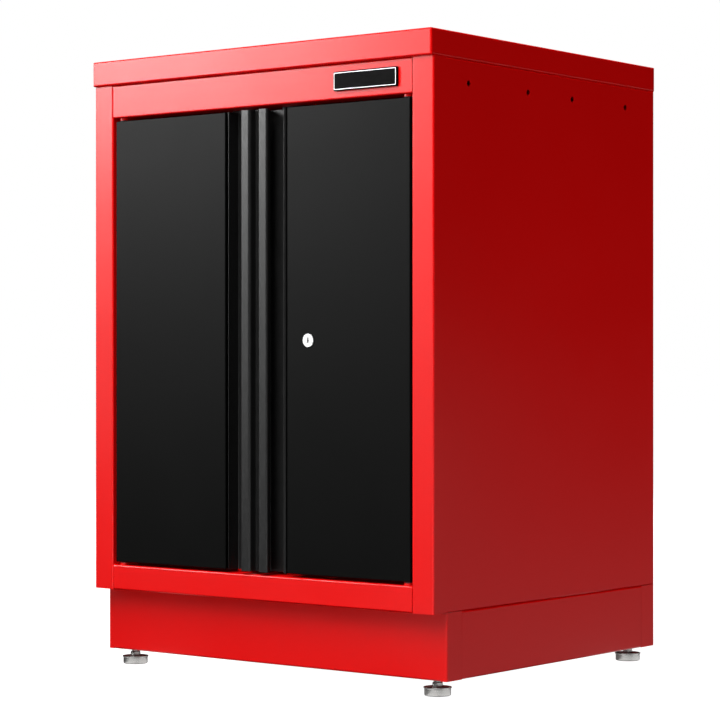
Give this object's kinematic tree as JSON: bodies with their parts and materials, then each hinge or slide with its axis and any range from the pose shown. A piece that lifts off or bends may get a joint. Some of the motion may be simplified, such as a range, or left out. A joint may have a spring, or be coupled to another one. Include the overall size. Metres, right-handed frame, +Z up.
{
  "type": "two-door base cabinet",
  "caption": "Steel workshop base cabinet on a recessed plinth with levelling feet: folded worktop, inset doors with full-height pulls, keyed rod lock and an inner shelf.",
  "frame": {"origin": "on the floor under the middle of the cabinet's outline", "axes": "+Z up, the doors face -Y, +X to the right as seen from the front"},
  "size_m": [0.61, 0.555, 0.874],
  "materials": {
    "red_paint": "gloss powder coat",
    "black_paint": "satin powder coat",
    "black_pull": "black anodised, satin",
    "zinc_steel": "zinc plated",
    "nickel": "bright turned nickel plate",
    "lock_chrome": "polished",
    "nylon": "moulded",
    "rubber": "matt"
  },
  "bodies": {
    "cabinet": {"side_panel_left": "red_paint", "side_panel_right": "red_paint", "back_panel": "red_paint", "floor_panel": "red_paint", "top_rail": "red_paint", "bottom_rail": "red_paint", "worktop": "red_paint", "worktop_stiffeners": "red_paint", "worktop_bolts": "zinc_steel", "plinth_front": "red_paint", "plinth_rear": "red_paint", "plinth_side_left": "red_paint", "plinth_side_right": "red_paint", "plinth_bolts": "zinc_steel", "foot_plates": "red_paint", "foot_nuts": "zinc_steel", "hinge_brackets": "red_paint", "hinge_pins": "zinc_steel", "shelf": "red_paint", "shelf_uprights": "zinc_steel", "shelf_clips": "zinc_steel", "catch_housings": "nylon", "catch_magnets": "zinc_steel", "door_stops": "red_paint", "door_bumpers": "rubber"},
    "left_door": {"door_skin_left": "black_paint", "door_liner_left": "black_paint", "door_pull_left": "black_pull", "pull_screws_left": "zinc_steel", "hinge_bushes_left": "nylon", "catch_strike_left": "zinc_steel", "latch_keeper": "zinc_steel"},
    "right_door": {"door_skin_right": "black_paint", "door_liner_right": "black_paint", "door_pull_right": "black_pull", "pull_screws_right": "zinc_steel", "hinge_bushes_right": "nylon", "catch_strike_right": "zinc_steel", "lock_body": "lock_chrome", "lock_nut": "zinc_steel", "rod_guides": "zinc_steel"},
    "lock_cylinder": {"lock_plug": "lock_chrome", "latch_cam": "zinc_steel", "cam_screw": "zinc_steel"},
    "upper_rod": {"latch_rod_upper": "zinc_steel"},
    "lower_rod": {"latch_rod_lower": "zinc_steel"},
    "foot_front_left": {"foot_pad_front_left": "nickel"},
    "stem_front_left": {"foot_stem_front_left": "nickel"},
    "foot_front_right": {"foot_pad_front_right": "nickel"},
    "stem_front_right": {"foot_stem_front_right": "nickel"},
    "foot_rear_left": {"foot_pad_rear_left": "nickel"},
    "stem_rear_left": {"foot_stem_rear_left": "nickel"},
    "foot_rear_right": {"foot_pad_rear_right": "nickel"},
    "stem_rear_right": {"foot_stem_rear_right": "nickel"}
  },
  "joints": [
    {"name": "left_door_hinge", "type": "hinge", "parent": "cabinet", "child": "left_door", "pos_m": [-0.2565, -0.2615, 0.46925], "axis": [0, 0, -1], "range_deg": [0, 110]},
    {"name": "right_door_hinge", "type": "hinge", "parent": "cabinet", "child": "right_door", "pos_m": [0.2565, -0.2615, 0.46925], "axis": [0, 0, 1], "range_deg": [0, 110]},
    {"name": "lock_turn", "type": "hinge", "parent": "right_door", "child": "lock_cylinder", "pos_m": [0.0935, -0.244, 0.46925], "axis": [0, 1, 0], "range_deg": [0, 90]},
    {"name": "upper_rod_slide", "type": "slide", "parent": "right_door", "child": "upper_rod", "axis": [0, 0, 1], "range_m": [0, 0.0199]},
    {"name": "lower_rod_slide", "type": "slide", "parent": "right_door", "child": "lower_rod", "axis": [0, 0, -1], "range_m": [0, 0.0199]},
    {"name": "foot_front_left_slide", "type": "slide", "parent": "cabinet", "child": "foot_front_left", "axis": [0, 0, 1], "range_m": [-0.02, 0]},
    {"name": "foot_front_left_turn", "type": "hinge", "parent": "foot_front_left", "child": "stem_front_left", "pos_m": [-0.2735, -0.221, 0.01], "axis": [0, 0, 1], "range_deg": [-4801, 0]},
    {"name": "foot_front_right_slide", "type": "slide", "parent": "cabinet", "child": "foot_front_right", "axis": [0, 0, 1], "range_m": [-0.02, 0]},
    {"name": "foot_front_right_turn", "type": "hinge", "parent": "foot_front_right", "child": "stem_front_right", "pos_m": [0.2735, -0.221, 0.01], "axis": [0, 0, 1], "range_deg": [-4801, 0]},
    {"name": "foot_rear_left_slide", "type": "slide", "parent": "cabinet", "child": "foot_rear_left", "axis": [0, 0, 1], "range_m": [-0.02, 0]},
    {"name": "foot_rear_left_turn", "type": "hinge", "parent": "foot_rear_left", "child": "stem_rear_left", "pos_m": [-0.2735, 0.253, 0.01], "axis": [0, 0, 1], "range_deg": [-4801, 0]},
    {"name": "foot_rear_right_slide", "type": "slide", "parent": "cabinet", "child": "foot_rear_right", "axis": [0, 0, 1], "range_m": [-0.02, 0]},
    {"name": "foot_rear_right_turn", "type": "hinge", "parent": "foot_rear_right", "child": "stem_rear_right", "pos_m": [0.2735, 0.253, 0.01], "axis": [0, 0, 1], "range_deg": [-4801, 0]}
  ],
  "couplings": [
    {"joint": "upper_rod_slide", "follows": "lock_turn", "m_per_rad": 0.012604},
    {"joint": "lower_rod_slide", "follows": "lock_turn", "m_per_rad": 0.012604},
    {"joint": "foot_front_left_turn", "follows": "foot_front_left_slide", "rad_per_m": 4188.8},
    {"joint": "foot_front_right_turn", "follows": "foot_front_right_slide", "rad_per_m": 4188.8},
    {"joint": "foot_rear_left_turn", "follows": "foot_rear_left_slide", "rad_per_m": 4188.8},
    {"joint": "foot_rear_right_turn", "follows": "foot_rear_right_slide", "rad_per_m": 4188.8}
  ]
}
